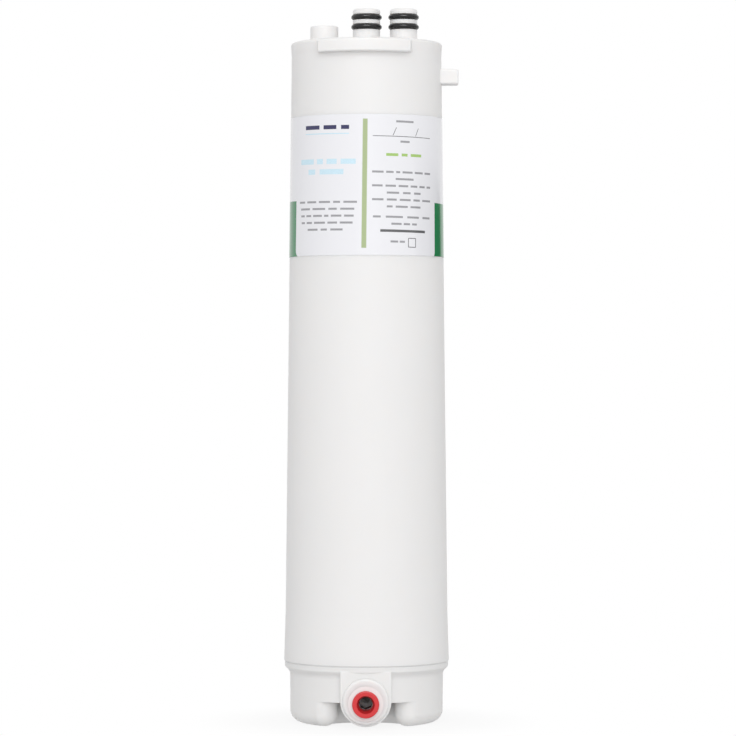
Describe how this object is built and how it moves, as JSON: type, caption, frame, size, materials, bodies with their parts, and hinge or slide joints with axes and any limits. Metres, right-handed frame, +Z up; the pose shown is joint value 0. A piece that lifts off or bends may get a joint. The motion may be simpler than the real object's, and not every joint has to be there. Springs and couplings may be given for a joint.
{
  "type": "reverse osmosis membrane cartridge",
  "caption": "Sealed quick-change water filter cartridge: tapered white canister with O-ring nozzles, bayonet lugs, a wound membrane inside and a push-in drain port at the foot.",
  "frame": {"origin": "middle of the flat base that the cartridge stands on, on the canister axis", "axes": "+Z up the canister axis towards the nozzles, -Y out of the drain port, +X towards the feed nozzle and the stop tab"},
  "size_m": [0.0829, 0.0853, 0.3387],
  "materials": {
    "white_polypropylene": "moulded, fine satin grain",
    "label_film": "printed film, smooth",
    "black_rubber": "moulded, satin",
    "red_acetal": "moulded, semi-gloss",
    "spring_steel": "stamped stainless steel",
    "white_acetal": "moulded, satin",
    "natural_plastic": "moulded, satin",
    "membrane_leaf": "wound membrane, net and carrier cloth",
    "wrap_film": "adhesive film"
  },
  "bodies": {
    "cartridge": {"pressure_vessel": "white_polypropylene", "bottom_cap": "white_polypropylene", "label": "label_film", "permeate_upper_o_ring": "black_rubber", "permeate_lower_o_ring": "black_rubber", "feed_upper_o_ring": "black_rubber", "feed_lower_o_ring": "black_rubber", "collet_retainer": "white_acetal", "tube_o_ring": "black_rubber", "tube_seal_spacer": "white_acetal", "flow_restrictor": "natural_plastic", "permeate_tube": "natural_plastic", "membrane_roll": "membrane_leaf", "element_wrap": "wrap_film", "upper_end_cap": "natural_plastic", "lower_end_cap": "natural_plastic", "brine_seal": "black_rubber", "stem_upper_o_ring": "black_rubber", "stem_lower_o_ring": "black_rubber", "tube_plug": "natural_plastic"},
    "collet": {"release_collet": "red_acetal", "grip_ring": "spring_steel"}
  },
  "joints": [
    {"name": "collet_release", "type": "slide", "parent": "cartridge", "child": "collet", "axis": [0, 1, 0], "range_m": [0, 0.0016]}
  ]
}
